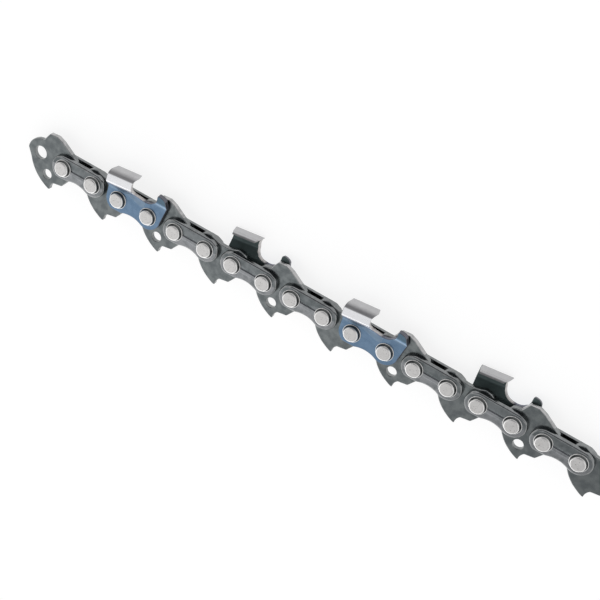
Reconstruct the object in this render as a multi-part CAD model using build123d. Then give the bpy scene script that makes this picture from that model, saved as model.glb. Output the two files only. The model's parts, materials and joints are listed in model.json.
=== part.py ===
from build123d import *
import math
import os

# A straight length of saw chain, lying on its side: it runs towards +X, its cutters point to +Y,
# its rivets stand along Z, and it rests on the far side. Millimetres.

# How the chain is made up
OUTER_LINKS = 9
PITCH = 9.32
STRAP_SPAN = 9.9
CUTTER_STEP = 2

# Sheet thicknesses and the play between the sheets
GAUGE = 1.5
PLATE = 1.3
SIDE_GAP = 0.06

# Rivets
BARREL_R = 1.9
SHOULDER_R = 1.4
HEAD_R = 2.6
HEAD_HEIGHT = 1.25
HEAD_TAPER = 10.0
PIN_GAP = 0.03
SEAT_GAP = 0.01

# Tie straps
STRAP_GAP = 1.0
STRAP_TOP = 3.4
STRAP_CORNER_X = 1.1
STRAP_CORNER_ANGLE = 42.0
WAIST_LENGTH = 6.6
WAIST_DEPTH = 1.0
GROOVE_WIDTH = 0.5
GROOVE_DEPTH = 0.25
GROOVE_HEIGHT = 0.45

# Drive links
BOSS_R = 4.2
SADDLE_DIP = 1.2
TANG_ROOT_R = 3.75
TANG_ROOT_ANGLE = 45.0
TANG_DEPTH = 9.4
TANG_TIP_X = 0.8
TIP_WIDTH = 0.45
TANG_REAR_SWELL = 1.1
HOOK_RISE = 2.35
HOOK_LENGTH = 0.9
HOOK_HOLLOW = 0.3
KEEL_DEPTH = 6.5
KEEL_X = 4.4
OIL_HOLE_R = 1.45
OIL_HOLE_X = -0.9
OIL_HOLE_DEPTH = 5.3
RAMP_HEIGHT = 7.25
RAMP_REAR_X = -2.75
RAMP_CREST_X = -0.2
RAMP_SHOULDER_X = 1.85
RAMP_SHOULDER_DROP = 0.8
RAMP_REAR_DROP = 0.3
RAMP_FOOT_ANGLE = 50.0

# Cutters
KERF = 8.1
HEEL_KERF = 7.7
TOP_HEIGHT = 9.5
HEEL_HEIGHT = 8.35
HEEL_X = -9.2
HEEL_SLANT = 10.0
EDGE_X = 0.15
TOP_REACH = 3.85
TOP_CORNER = 1.8
TOP_SWEEP = 11.0
JOG_FOOT = 3.7
HEEL_JOG_FOOT = 2.8
JOG_SLOPE = 47.0
FILE_R = 2.6
FILE_OVER_TOP = 0.3
GULLET_R = 3.1
GULLET_X = 3.2
GULLET_BOTTOM = 3.7
GAUGE_HEIGHT = 8.2
GAUGE_CROWN = 0.5
GAUGE_TOP_LENGTH = 2.2
GAUGE_TOP_DROP = 0.5
GAUGE_FRONT_X = 9.8
GAUGE_BEND = 5.0
GAUGE_LEAN = 14.0

# Round edges, other than the bearings, are drawn with flat sides, so that a long chain stays light
HEAD_SIDES = 12
HOLE_SIDES = 12
SHOULDER_SIDES = 6
ROUND_STEP = 18.0
BOW_STEPS = 5

# Worked out from the sizes above
LINK_SPAN = 2 * PITCH - STRAP_SPAN
INNER_Z = GAUGE / 2 + SIDE_GAP
OUTER_Z = INNER_Z + PLATE
STRAP_END_R = (LINK_SPAN - STRAP_GAP) / 2
BARREL_HOLE_R = BARREL_R + PIN_GAP
SHOULDER_HOLE_R = SHOULDER_R + SEAT_GAP


def polar(centre, radius, angle):
    """The point at this distance and angle, in degrees, from a centre."""
    heading = math.radians(angle)
    return (centre[0] + radius * math.cos(heading), centre[1] + radius * math.sin(heading))


def turn(centre, radius, start, end):
    """Points round a centre from one angle to another, both ends included."""
    steps = max(1, round(abs(end - start) / ROUND_STEP))
    return [polar(centre, radius, start + (end - start) * i / steps) for i in range(steps + 1)]


def bow(start, end, rise):
    """Points on an arc from start up to end, without end, that swells by rise to the right of the way."""
    run, climb = end[0] - start[0], end[1] - start[1]
    half = math.hypot(run, climb) / 2
    sweep = 4 * math.atan(rise / half)
    radius = half / math.sin(sweep / 2)
    points = []
    for i in range(BOW_STEPS):
        part = sweep * i / BOW_STEPS
        heading = math.atan2(climb, run) - sweep / 2 + part / 2
        length = 2 * radius * math.sin(part / 2)
        points.append((start[0] + length * math.cos(heading), start[1] + length * math.sin(heading)))
    return points


def sheet(points, low, high):
    """A flat sheet with this outline, between two heights."""
    return Pos(0, 0, low) * extrude(Polygon(*points, align=None), high - low)


def many_sided(radius, sides, low, high):
    """An upright pin with flat sides, with this radius at its corners."""
    return Pos(0, 0, low) * extrude(RegularPolygon(radius, sides), high - low)


def round_about(radius, sides):
    """The corner radius of a many-sided hole that a circle of this radius just fits."""
    return radius / math.cos(math.pi / sides)


def rivet():
    """A stepped pin: a barrel between the plates, shoulders through them and a peened head at each end."""
    barrel = Cylinder(BARREL_R, 2 * INNER_Z)
    shoulders = many_sided(SHOULDER_R, SHOULDER_SIDES, -OUTER_Z, OUTER_Z)
    seat = Pos(0, 0, OUTER_Z) * RegularPolygon(HEAD_R, HEAD_SIDES)
    head = extrude(seat, HEAD_HEIGHT, taper=HEAD_TAPER)
    return barrel + shoulders + head + mirror(head, about=Plane.XY)


def waist():
    """The hollow underside between two round ends, from the rear round to the front one."""
    x = WAIST_LENGTH / 2
    y = -math.sqrt(STRAP_END_R**2 - (STRAP_SPAN / 2 - x) ** 2)
    return bow((-x, y), (x, y), -WAIST_DEPTH)


def waist_angle():
    """The angle, seen from the front rivet, at which the waist meets the front round."""
    return -math.degrees(math.acos((WAIST_LENGTH / 2 - STRAP_SPAN / 2) / STRAP_END_R))


def strap_holes():
    """Where both rivets pass through a plate."""
    hole = many_sided(SHOULDER_HOLE_R, SHOULDER_SIDES, 0, 2 * OUTER_Z)
    return Pos(-STRAP_SPAN / 2, 0, 0) * hole + Pos(STRAP_SPAN / 2, 0, 0) * hole


def tie_strap():
    """The near strap: round ends, a low straight back, a hollow underside and a pressed groove."""
    front = turn((STRAP_SPAN / 2, 0), STRAP_END_R, waist_angle(), STRAP_CORNER_ANGLE)
    rear = turn((-STRAP_SPAN / 2, 0), STRAP_END_R, 180 - STRAP_CORNER_ANGLE, 180 - waist_angle())
    corner = STRAP_SPAN / 2 + STRAP_CORNER_X
    back = [(corner, STRAP_TOP), (-corner, STRAP_TOP)]
    strap = sheet(waist()[1:] + front + back + rear, INNER_Z, OUTER_Z) - strap_holes()
    groove = Box(STRAP_SPAN - 2 * HEAD_R, GROOVE_WIDTH, 2 * GROOVE_DEPTH)
    return strap - Pos(0, GROOVE_HEIGHT, OUTER_Z) * groove


def tang(rear_root, front_root):
    """The tooth under a drive link: a swept rear edge, a hooked tip, a scoop and a blunt keel."""
    tip = (TANG_TIP_X, -TANG_DEPTH)
    heel = (TANG_TIP_X - TIP_WIDTH, -TANG_DEPTH)
    scoop = (TANG_TIP_X + HOOK_LENGTH, HOOK_RISE - TANG_DEPTH)
    keel = (KEEL_X, -KEEL_DEPTH)
    rear_edge = bow(rear_root, heel, TANG_REAR_SWELL)
    hook = bow(tip, scoop, -HOOK_HOLLOW)
    return rear_edge + [heel] + hook + [scoop, keel, front_root]


def drive_link(ramped, open_end):
    """A drive link with a plain back, or with a ramp and an oil hole. An open end has a round hole."""
    x = LINK_SPAN / 2
    rear_round = turn((-x, 0), BOSS_R, 90, 180)
    front_round = turn((x, 0), BOSS_R, 0, RAMP_FOOT_ANGLE if ramped else 90)
    back = bow((x, BOSS_R), (-x, BOSS_R), -SADDLE_DIP)[1:]
    if ramped:
        back = [
            (RAMP_SHOULDER_X, RAMP_HEIGHT - RAMP_SHOULDER_DROP),
            (RAMP_CREST_X, RAMP_HEIGHT),
            (RAMP_REAR_X, RAMP_HEIGHT - RAMP_REAR_DROP),
        ]
    rear_root = polar((-x, 0), TANG_ROOT_R, 180 + TANG_ROOT_ANGLE)
    front_root = polar((x, 0), TANG_ROOT_R, -TANG_ROOT_ANGLE)
    outline = rear_round + tang(rear_root, front_root) + front_round + back
    link = sheet(outline, -GAUGE / 2, GAUGE / 2)
    closed = many_sided(round_about(BARREL_HOLE_R, HOLE_SIDES), HOLE_SIDES, -GAUGE, GAUGE)
    open_hole = Cylinder(BARREL_HOLE_R, 2 * GAUGE)
    link -= Pos(-x, 0, 0) * (open_hole if open_end == "rear" else closed)
    link -= Pos(x, 0, 0) * (open_hole if open_end == "front" else closed)
    if ramped:
        oil_hole = many_sided(OIL_HOLE_R, HOLE_SIDES, -GAUGE, GAUGE)
        link -= Pos(OIL_HOLE_X, -OIL_HOLE_DEPTH, 0) * oil_hole
    return link


def along_top(x, heel_value, edge_value):
    """A size that grows evenly from the heel of the top plate to its cutting edge, at this place."""
    return heel_value + (edge_value - heel_value) * (x - HEEL_X) / (EDGE_X - HEEL_X)


def jog_foot(x):
    """The height at which the side plate starts to step outwards."""
    return along_top(x, HEEL_JOG_FOOT, JOG_FOOT)


def top_section(x):
    """The folded section of a cutter: out from the body, up the side and over, growing towards the edge."""
    side = along_top(x, HEEL_KERF, KERF) / 2
    height = along_top(x, HEEL_HEIGHT, TOP_HEIGHT)
    foot = jog_foot(x)
    jog_top = foot + (side - OUTER_Z) * math.tan(math.radians(JOG_SLOPE))
    corner = turn((side - TOP_CORNER, height - TOP_CORNER), TOP_CORNER, 0, 90)
    free = side - TOP_REACH
    profile = [(OUTER_Z, foot), (side, jog_top)] + corner + [(free, height), (free, height - PLATE)]
    profile += [(side - PLATE, height - PLATE), (side - PLATE, jog_top), (INNER_Z, foot)]
    return [(x, y, z) for z, y in profile]


def flat_sided(rear, front):
    """A solid between two outlines whose edges run side by side, corner to corner."""
    faces = [make_face(Polyline(*outline, close=True)) for outline in (rear, front)]
    for i in range(len(rear)):
        faces.append(make_face(Polyline(rear[i - 1], rear[i], front[i], front[i - 1], close=True)))
    return Solid(Shell(faces))


def fold():
    """The folded side and top plate, cut off slantwise at the heel."""
    plate = flat_sided(top_section(HEEL_X), top_section(GULLET_X))
    waste = Box(KERF, 2 * TOP_HEIGHT, 2 * KERF, align=(Align.MAX, Align.CENTER, Align.CENTER))
    return plate - Pos(HEEL_X, HEEL_HEIGHT, HEEL_KERF / 2) * Rot(0, -HEEL_SLANT, 0) * waste


def depth_gauge(rear):
    """The tab in front of the gullet, bent outwards along its foot."""
    crown = rear + GAUGE_CROWN
    tab = [
        (GULLET_X, GAUGE_BEND),
        (GAUGE_FRONT_X, GAUGE_BEND),
        (crown + GAUGE_TOP_LENGTH, GAUGE_HEIGHT - GAUGE_TOP_DROP),
        (crown, GAUGE_HEIGHT),
        (GULLET_X, GAUGE_HEIGHT),
    ]
    upright = Pos(0, -GAUGE_BEND, 0) * sheet(tab, 0, PLATE)
    return Pos(0, GAUGE_BEND, INNER_Z) * Rot(GAUGE_LEAN, 0, 0) * upright


def gullet_cut():
    """What the punch takes out between the cutting edge and the depth gauge."""
    centre = (GULLET_X, GULLET_BOTTOM + GULLET_R)
    sky = TOP_HEIGHT + GULLET_R
    mouth = turn(centre, GULLET_R, 180, 360) + [(GULLET_X + GULLET_R, sky), (GULLET_X - GULLET_R, sky)]
    return sheet(mouth, -KERF, KERF)


def file_cut():
    """The path of the round file that hollows the cutting edge; the outer corner leads the inner one."""
    lead = math.tan(math.radians(TOP_SWEEP))
    middle = math.sqrt(FILE_R**2 - (FILE_R - FILE_OVER_TOP) ** 2)
    start = Pos(EDGE_X + middle + KERF * lead / 2, TOP_HEIGHT + FILE_OVER_TOP - FILE_R, KERF)
    return extrude(start * RegularPolygon(FILE_R, HEAD_SIDES), 2 * KERF, dir=(-lead, 0, -1))


def cutter():
    """The near cutter: strap-like body, folded side and top plate, filed gullet and depth gauge."""
    rear = turn((-STRAP_SPAN / 2, 0), STRAP_END_R, 180, 180 - waist_angle())
    front = turn((STRAP_SPAN / 2, 0), STRAP_END_R, waist_angle(), 0)
    brow = [(GAUGE_FRONT_X, GAUGE_BEND), (GULLET_X, GAUGE_BEND)]
    brow += [(x, jog_foot(x)) for x in (GULLET_X, rear[0][0])]
    body = sheet(rear + waist()[1:] + front + brow, INNER_Z, OUTER_Z) - strap_holes()
    blank = body + fold() + depth_gauge(GULLET_X + GULLET_R)
    return blank - gullet_cut() - file_cut()


def drive_links():
    """All drive links, rear to front. Every other one has the ramp that leads into a depth gauge."""
    links = {}
    for i in range(OUTER_LINKS + 1):
        ramped = i % CUTTER_STEP == 0
        open_end = {0: "rear", OUTER_LINKS: "front"}.get(i)
        name = f"{'ramp' if ramped else 'plain'}_drive_link_{i + 1:02d}"
        links[name] = Pos((2 * i - OUTER_LINKS) * PITCH, 0, 0) * drive_link(ramped, open_end)
    return links


def outer_links():
    """All pairs of plates with their rivets, rear to front. Cutters take turns on the near and far side."""
    strap, blade, pin = tie_strap(), cutter(), rivet()
    links = {}
    for i in range(1, OUTER_LINKS + 1):
        place = Pos((2 * i - OUTER_LINKS - 1) * PITCH, 0, 0)
        has_cutter = i % CUTTER_STEP == 0
        near_cutter = has_cutter and i // CUTTER_STEP % 2 == 1
        far_cutter = has_cutter and not near_cutter
        near, far = blade if near_cutter else strap, blade if far_cutter else strap
        links[f"near_{'cutter' if near_cutter else 'strap'}_{i:02d}"] = place * near
        links[f"far_{'cutter' if far_cutter else 'strap'}_{i:02d}"] = place * mirror(far, about=Plane.XY)
        links[f"rear_rivet_{i:02d}"] = place * Pos(-STRAP_SPAN / 2, 0, 0) * pin
        links[f"front_rivet_{i:02d}"] = place * Pos(STRAP_SPAN / 2, 0, 0) * pin
    return links


pieces = drive_links() | outer_links()
box = Compound(list(pieces.values())).bounding_box()
stand = Pos(-box.center().X, -box.center().Y, -box.min.Z)
os.makedirs("parts", exist_ok=True)
for name, piece in pieces.items():
    export_step(stand * piece, f"parts/{name}.step")
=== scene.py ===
import json
import math
from types import SimpleNamespace

import bpy
import numpy as np
from bpy.props import FloatProperty, FloatVectorProperty, IntProperty, PointerProperty
from mathutils.geometry import delaunay_2d_cdt
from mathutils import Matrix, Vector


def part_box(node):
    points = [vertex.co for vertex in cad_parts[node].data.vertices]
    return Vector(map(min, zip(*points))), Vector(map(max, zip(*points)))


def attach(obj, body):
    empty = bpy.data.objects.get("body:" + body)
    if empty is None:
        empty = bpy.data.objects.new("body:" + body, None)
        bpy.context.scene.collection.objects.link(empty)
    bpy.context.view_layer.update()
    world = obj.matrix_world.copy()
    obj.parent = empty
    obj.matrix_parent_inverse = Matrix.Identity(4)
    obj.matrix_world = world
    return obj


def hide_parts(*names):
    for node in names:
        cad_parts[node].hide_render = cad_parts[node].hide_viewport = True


bl_info = {
    "name": "Saw chain length",
    "version": (1, 0, 0),
    "blender": (4, 5, 0),
    "location": "View3D > Sidebar > Saw chain",
    "description": "Dresses a straight length of saw chain: rivets, drive links, tie straps and cutters",
    "category": "Object",
}

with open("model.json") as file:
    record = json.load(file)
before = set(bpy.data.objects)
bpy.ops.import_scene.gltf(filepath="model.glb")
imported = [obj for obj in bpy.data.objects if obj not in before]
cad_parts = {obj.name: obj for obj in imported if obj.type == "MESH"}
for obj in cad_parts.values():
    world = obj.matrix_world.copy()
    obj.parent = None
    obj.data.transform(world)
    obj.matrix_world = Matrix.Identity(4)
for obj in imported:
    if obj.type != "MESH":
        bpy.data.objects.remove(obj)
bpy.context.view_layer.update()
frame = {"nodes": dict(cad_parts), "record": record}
BODIES = frame["record"]["behaviour"]["bodies"]
BODY_OF = {node: body for body, members in BODIES.items() for node in members}


def middle_of(node):
    """The middle of a node's box, in millimetres."""
    low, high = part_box(node)
    return (np.array(low) + np.array(high)) * 500.0


REAR_RIVET = middle_of("rear_rivet_01")
STRAP_SPAN = (middle_of("front_rivet_01") - REAR_RIVET)[0]
LINK_SPAN = (middle_of("rear_rivet_02") - middle_of("front_rivet_01"))[0]
PLATE_INNER, PLATE_OUTER = (corner.z * 1000.0 - REAR_RIVET[2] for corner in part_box("near_strap_01"))
LINK_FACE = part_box("plain_drive_link_02")[1].z * 1000.0 - REAR_RIVET[2]
HEAD_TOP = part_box("rear_rivet_01")[1].z * 1000.0 - REAR_RIVET[2]


def length(name, description, millimetres):
    """A length setting, written in millimetres and kept in metres."""
    kind = {"subtype": "DISTANCE", "unit": "LENGTH"}
    return FloatProperty(name=name, description=description, default=millimetres / 1000.0, precision=5, **kind)


def turning(name, description, degrees):
    """An angle setting, written in degrees."""
    kind = {"subtype": "ANGLE", "unit": "ROTATION"}
    return FloatProperty(name=name, description=description, default=math.radians(degrees), **kind)


def share(name, description, value, high=1.0):
    """A plain number from nothing up to a highest value."""
    return FloatProperty(name=name, description=description, default=value, min=0.0, max=high, subtype="FACTOR")


def vector(name, description, values, **kind):
    """A setting of two or three numbers."""
    kind |= {"size": len(values), "precision": 5}
    return FloatVectorProperty(name=name, description=description, default=values, **kind)


def spot(name, description, *metres):
    """A place in the room."""
    return vector(name, description, metres, subtype="TRANSLATION", unit="LENGTH")


def turns(name, description, *degrees):
    """Turns about X, Y and Z."""
    return vector(name, description, tuple(map(math.radians, degrees)), subtype="EULER", unit="ROTATION")


def tint(name, description, red, green, blue):
    """A colour setting, in linear light."""
    return vector(name, description, (red, green, blue), min=0.0, max=1.0, subtype="COLOR")


class RivetSettings(bpy.types.PropertyGroup):
    """Sizes of the rivets"""

    barrel: length("Barrel radius", "The part that turns in the drive link", 1.9)
    shoulder: length("Shoulder radius", "The part held in the plates", 1.4)
    flange: length("Flange radius", "The thin lip that the peening spreads over the plate", 2.58)
    flange_height: length("Flange height", "How thick the lip is", 0.2)
    head: length("Head radius", "The raised part of the head", 2.42)
    face: length("Face radius", "The top of the head, with its rounding", 2.14)
    round_over: length("Head rounding", "Rounding between the wall and the face of the head", 0.42)
    ring_pitch: length("Ring spacing", "Distance between the turning marks on the face", 0.46)
    ring_depth: length("Ring depth", "Depth of the turning marks", 0.012)
    sides: IntProperty(name="Sides", description="Steps round the rivet", default=64, min=16)


class StrapSettings(bpy.types.PropertyGroup):
    """Sizes of the tie straps"""

    end: length("End radius", "Round ends about the rivets", 3.87)
    top: length("Back height", "The straight back above the rivets", 3.4)
    corner: length("Corner", "How far the back reaches past the rivets", 1.1)
    corner_angle: turning("Corner angle", "Where the ends' rounds run into the corner", 42.0)
    waist: length("Waist length", "The hollow under the strap", 6.6)
    waist_depth: length("Waist depth", "Rise of that hollow", 0.8)
    groove_height: length("Groove height", "Height of the pressed groove above the rivets", 0.45)
    groove_half: length("Groove length", "Half the length of the groove", 2.5)
    groove_width: length("Groove width", "Half width of the groove", 0.24)
    groove_depth: length("Groove depth", "Depth of the groove", 0.25)
    step_width: length("Step", "From the groove down to the small step on the face", 1.15)
    step_depth: length("Step depth", "Height of that step", 0.05)
    hole: length("Hole radius", "Where the rivets' shoulders pass", 1.41)
    rolled: length("Rolled edge", "Rounding of the edge on the outer face", 0.50)
    burr: length("Inner edge", "Rounding of the edge on the inner face", 0.08)


class DriveLinkSettings(bpy.types.PropertyGroup):
    """Sizes of the drive links"""

    boss: length("End radius", "Round ends about the rivets", 4.2)
    saddle: length("Saddle", "Hollow of the back between the rivets", 1.2)
    root: length("Root radius", "Distance of the tang's roots from the rivets", 3.75)
    depth: length("Tang depth", "From the rivets down to the tip", 9.4)
    tip: length("Tip place", "Tip of the tang ahead of the middle", 0.8)
    tip_width: length("Tip width", "Blunt end of the tip", 0.45)
    swell: length("Rear swell", "Swell of the tang's rear edge", 1.1)
    hook_rise: length("Hook rise", "From the tip up to the scoop", 2.35)
    hook_length: length("Hook length", "From the tip forwards to the scoop", 0.9)
    hook_hollow: length("Hook hollow", "Hollow of the hook's front", 0.3)
    keel_depth: length("Keel depth", "Depth of the blunt keel", 6.5)
    keel: length("Keel place", "Keel ahead of the middle", 4.4)
    oil_hole: length("Oil hole", "Radius of the oil hole", 1.45)
    oil_x: length("Oil hole place", "Oil hole ahead of the middle", -0.9)
    oil_depth: length("Oil hole depth", "Oil hole below the rivets", 5.3)
    ramp: length("Ramp height", "Crest of the ramp above the rivets", 7.25)
    ramp_rear: length("Ramp rear", "Rear corner of the ramp", -2.75)
    ramp_crest: length("Ramp crest", "Place of the crest", -0.2)
    ramp_shoulder: length("Ramp shoulder", "Front corner of the ramp", 1.85)
    shoulder_drop: length("Shoulder drop", "Front corner below the crest", 0.8)
    rear_drop: length("Rear drop", "Rear corner below the crest", 0.3)
    ramp_foot: turning("Ramp foot", "Where the ramp runs into the front round", 50.0)
    bore: length("Bore radius", "Where the rivets' barrels turn", 1.93)
    rolled: length("Rolled edge", "Rounding of the edges", 0.28)


class CutterSettings(bpy.types.PropertyGroup):
    """Sizes of the cutters"""

    kerf: length("Kerf", "Twice the reach of the cutting corner from the middle", 8.1)
    heel_kerf: length("Heel kerf", "The same at the heel", 7.7)
    top: length("Edge height", "Cutting edge above the rivets", 9.5)
    heel_top: length("Heel height", "Heel of the top plate above the rivets", 8.35)
    heel: length("Heel place", "Heel of the top plate", -9.2)
    heel_slant: turning("Heel slant", "Slant of the heel seen from above", 10.0)
    edge: length("Edge place", "Outer corner of the cutting edge", 0.15)
    reach: length("Top reach", "Width of the top plate", 3.85)
    corner: length("Outer corner", "Radius of the fold outside", 1.8)
    inner_corner: length("Inner corner", "Radius of the fold inside", 0.5)
    sweep: turning("Edge sweep", "How far the cutting edge runs back", 11.0)
    foot: length("Foot of the step", "Where the side plate steps outwards, at the edge", 3.7)
    heel_foot: length("Foot at the heel", "The same at the heel", 2.8)
    slope: turning("Slope of the step", "Steepness of the outward step", 47.0)
    file: length("File radius", "The round file that hollows the edge", 2.6)
    file_over: length("File over top", "How far the file stands above the top plate", 0.3)
    gullet: length("Gullet radius", "Front half of the gullet", 3.1)
    gullet_x: length("Gullet place", "Middle of the gullet", 3.2)
    gullet_low: length("Gullet bottom", "Lowest point of the gullet", 3.7)
    fullness: share("Gullet fullness", "Power that gives the roundness of the gullet's rear half", 2.3, 6.0)
    gauge_top: length("Gauge height", "Top of the depth gauge before it leans out", 8.2)
    gauge_crown: length("Gauge crown", "Length of its level crown", 0.5)
    gauge_run: length("Gauge slope", "Length of its sloping top", 2.2)
    gauge_drop: length("Gauge drop", "Fall of the sloping top", 0.5)
    gauge_round: length("Gauge nose", "How far its front is rounded below that fall", 0.8)
    gauge_front: length("Gauge front", "Foot of its front edge", 9.72)
    gauge_bend: length("Gauge bend", "Height of the bend", 5.0)
    gauge_lean: turning("Gauge lean", "How far the gauge leans outwards", 14.0)
    plate_rise: length("Plating border", "How far up the step the plating begins", 1.7)
    plate_tip: length("Plating tip", "Where its border comes down to the foot of the step", 1.8)
    plate_taper: length("Plating taper", "Length over which it comes down", 4.5)
    bend_soft: length("Bend softness", "Reach over which the bends are rounded", 0.25)
    rolled: length("Rolled edge", "Rounding of the outer edges", 0.16)
    burr: length("Inner edge", "Rounding of the inner edges", 0.07)


class FinishSettings(bpy.types.PropertyGroup):
    """Colours of the finishes"""

    link: tint("Drive link steel", "Grey-green oiled steel", 0.197, 0.214, 0.217)
    link_dark: tint("Drive link shade", "Its darker clouds", 0.127, 0.141, 0.146)
    strap: tint("Strap steel", "Grey oiled steel", 0.194, 0.209, 0.216)
    strap_dark: tint("Strap shade", "Its darker clouds", 0.120, 0.134, 0.139)
    # Paler steel on the lower half of the straps' outer faces
    rubbed: tint("Rubbed steel", "Lower half of the straps, rubbed by the bar", 0.275, 0.283, 0.295)
    # Paler steel on the walls of the ramps' backs
    ground: tint("Ground steel", "Slope of the ramps, ground bright by the wood", 0.440, 0.440, 0.445)
    blue: tint("Blued steel", "Heat-blued outside of the cutters", 0.160, 0.242, 0.352)
    blue_dark: tint("Blue shade", "Its darker clouds", 0.130, 0.204, 0.304)
    # Painted reflection: a dark purple-grey band under the chrome, for the blue body seen in the plated step
    purple: tint("Heat fringe", "Purple-grey band under the chrome", 0.190, 0.190, 0.270)
    # Painted highlight: paler blued steel along the gauge's bend and just under the step
    sheen: tint("Sheen", "Blued steel along the bends", 0.260, 0.345, 0.440)
    # Painted shade on the blued steel above the gauge's bend, where the gauge leans out
    shaded: tint("Gauge", "Blued steel above the gauge's bend", 0.062, 0.100, 0.135)
    # Oiled steel on the cutters' inner faces, darkened with painted shade from the top plate above them
    inside: tint("Inside of the cutters", "Oil-black inner faces", 0.090, 0.116, 0.116)
    punched: tint("Punched walls", "Walls of the gullet and the gauge", 0.150, 0.142, 0.162)
    chrome: tint("Chrome", "Plated side of the cutters", 0.745, 0.748, 0.770)
    # Duller chrome on the top plate, partly a real finish and partly painted shade for the top's dimmer
    # reflections
    satin: tint("Satin chrome", "Plated top of the cutters", 0.520, 0.518, 0.525)
    # Painted shade on the plating over the fold, where the corner reflects the dim side of the room
    fold: tint("Fold", "Dull plating over the fold", 0.300, 0.298, 0.305)
    free: tint("Free edge", "Sheared edge of the top plate", 0.230, 0.228, 0.235)
    bare: tint("Bare steel", "Filed faces and worn edges", 0.560, 0.540, 0.530)
    rivet: tint("Rivet steel", "Bright peened heads", 0.590, 0.582, 0.575)
    rivet_dark: tint("Rivet speckle", "Dark specks on the heads", 0.260, 0.255, 0.248)
    # Painted highlight on the heads' rounded rim, strongest on the side of the key light
    rivet_rim: tint("Rivet rim", "Burnished rim of the heads", 0.860, 0.855, 0.850)
    # Painted shade: the heads' walls are painted near black for the shadow and dark reflection on them
    rivet_wall: tint("Rivet wall", "Oil-dark walls of the heads", 0.085, 0.090, 0.090)


class StageSettings(bpy.types.PropertyGroup):
    """The floor, light and camera"""

    camera_place: spot("Camera place", "Where the camera stands", 0.07010, 0.17855, 0.27285)
    camera_turn: turns("Camera turn", "The camera's turns about X, Y and Z", -25.678, 25.745, 19.839)
    lens: FloatProperty(name="Lens", description="Focal length in millimetres", default=75.13, unit="CAMERA")
    sensor: FloatProperty(name="Sensor", description="Sensor width in millimetres", default=36.0, unit="CAMERA")
    nearest: length("Nearest", "Where the camera begins to see", 5.0)
    floor: tint("Floor", "Colour of the floor", 0.27, 0.27, 0.27)
    floor_width: length("Floor width", "Width and depth of the floor", 4000.0)
    floor_gap: length("Floor gap", "How far the floor lies below the chain", 0.02)
    floor_glow: share("Floor glow", "How bright the floor looks by itself, to the camera and in reflections", 0.80)
    dim: tint("Dim side", "Light of the room above and behind the camera", 0.20, 0.20, 0.22)
    dim_way: vector("Dim way", "Towards the middle of the dim side", (-0.10, 0.60, 0.79), subtype="DIRECTION")
    dusk: tint("Dusky side", "Light of the room ahead on the right", 0.55, 0.55, 0.55)
    dusk_way: vector("Dusk way", "Towards the middle of the dusky side", (0.20, -0.54, 0.82), subtype="DIRECTION")
    key: FloatProperty(name="Key light", description="Power of the large soft light", default=3.0, unit="POWER")
    key_size: vector("Key size", "Width and height of the light", (2.0, 0.8), unit="LENGTH")
    key_place: spot("Key place", "Where the light hangs", -0.50, -0.90, 0.30)
    key_turn: turns("Key turn", "The light's turns about X, Y and Z", 74.0, 0.0, -29.0)


GROUPS = {
    "saw_chain_rivets": RivetSettings,
    "saw_chain_straps": StrapSettings,
    "saw_chain_drive_links": DriveLinkSettings,
    "saw_chain_cutters": CutterSettings,
    "saw_chain_finish": FinishSettings,
    "saw_chain_stage": StageSettings,
}


def sizes(context, group):
    """A settings group's values by name, with its lengths in millimetres."""
    held = getattr(context.scene, group)
    kinds = held.bl_rna.properties
    values = {key: getattr(held, key) for key in GROUPS[group].__annotations__}
    return SimpleNamespace(
        **{key: value * 1000.0 if kinds[key].unit == "LENGTH" else value for key, value in values.items()}
    )


# Paths and surfaces, in millimetres, about the middle of the link

RIVETS_X = (-STRAP_SPAN / 2, STRAP_SPAN / 2)
NO_POINTS = np.zeros((0, 2))
ELSEWHERE = -4.0  # what the marks of step and gauge say away from them

# How closely the surfaces are drawn
ARC_STEP = 0.1
BOW_POINTS = 40
ROUND_POINTS, WALL_POINTS = 6, 5  # on the rounds and the wall of a pressed edge
FACE_POINTS, HEAD_POINTS, LIP_POINTS = 26, 7, 9  # on a rivet's face, rounding and lip
CROWN_POINTS, BOWL_POINTS, EDGE_POINTS, SIDE_POINTS = 12, 30, 90, 60  # along cutters and straps
FRONT_TRIES = 30  # steps that bring a cutter's front to the file's path
CUTTER_GRID, GAUGE_GRID = 0.45, 0.35
BEND_MARGIN = 0.6  # reach of the closer points on both sides of a bend
STRAP_CLEAR, CUTTER_CLEAR = 0.3, 0.5  # from a hole's rim to the nearest points on the face
FLOOR_POINTS = 9

# Spacing of the points of outlines, and how soft their corners are
STRAP_STEP, STRAP_SOFT = 0.22, 0.30
RING_STEP, RING_SOFT = 0.4, 0.2
LINK_STEP, LINK_SOFT = 0.2, 0.11
CUTTER_STEP, CUTTER_SOFT = 0.17, 0.09

# Shares of a rounding
FACE_START = 1.4  # from the edge of a sheet to its flat face
TIGHTEST, LEAST = 0.4, 0.03  # of a bend's radius that it may fill, and what is always left
RIM_ROUNDING, BORE_ROUNDING = 0.3, 0.5  # at rivet holes, and at bores and oil holes
FILED_AWAY = 0.85  # missing from filed and free edges
RIM_SHARE = 0.75  # of a rivet head's, that makes its rim

# Small forms
POLE, ROOT_RUN, ROOT_RISE = 0.08, 0.03, 0.06  # middle of a rivet's face, and the foot of its head
RIM_MEAN, RIM_SWING = 0.6, 0.4  # painted highlight on a rivet's rim: its mean and its swing round the head
GROOVE_FALL = 1.6  # steepness of a strap's groove
STEP_SOFT, STEP_LOW = 0.12, 1.6  # half width of a strap's step, and its deepest place below the groove
STEP_ENDS, STEP_REACH = 0.5, 1.2  # how it fades along and across the strap
BOWL_LEAN = 0.95  # where the gullet's bowl meets the step, in radians
FILED_FROM = 0.15  # share of the gullet's radius over which the filing sets in
FREE_EDGE, TRIM_FROM = 0.3, 0.5  # rises up the sheet: below its free edge, and above its foot


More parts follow.
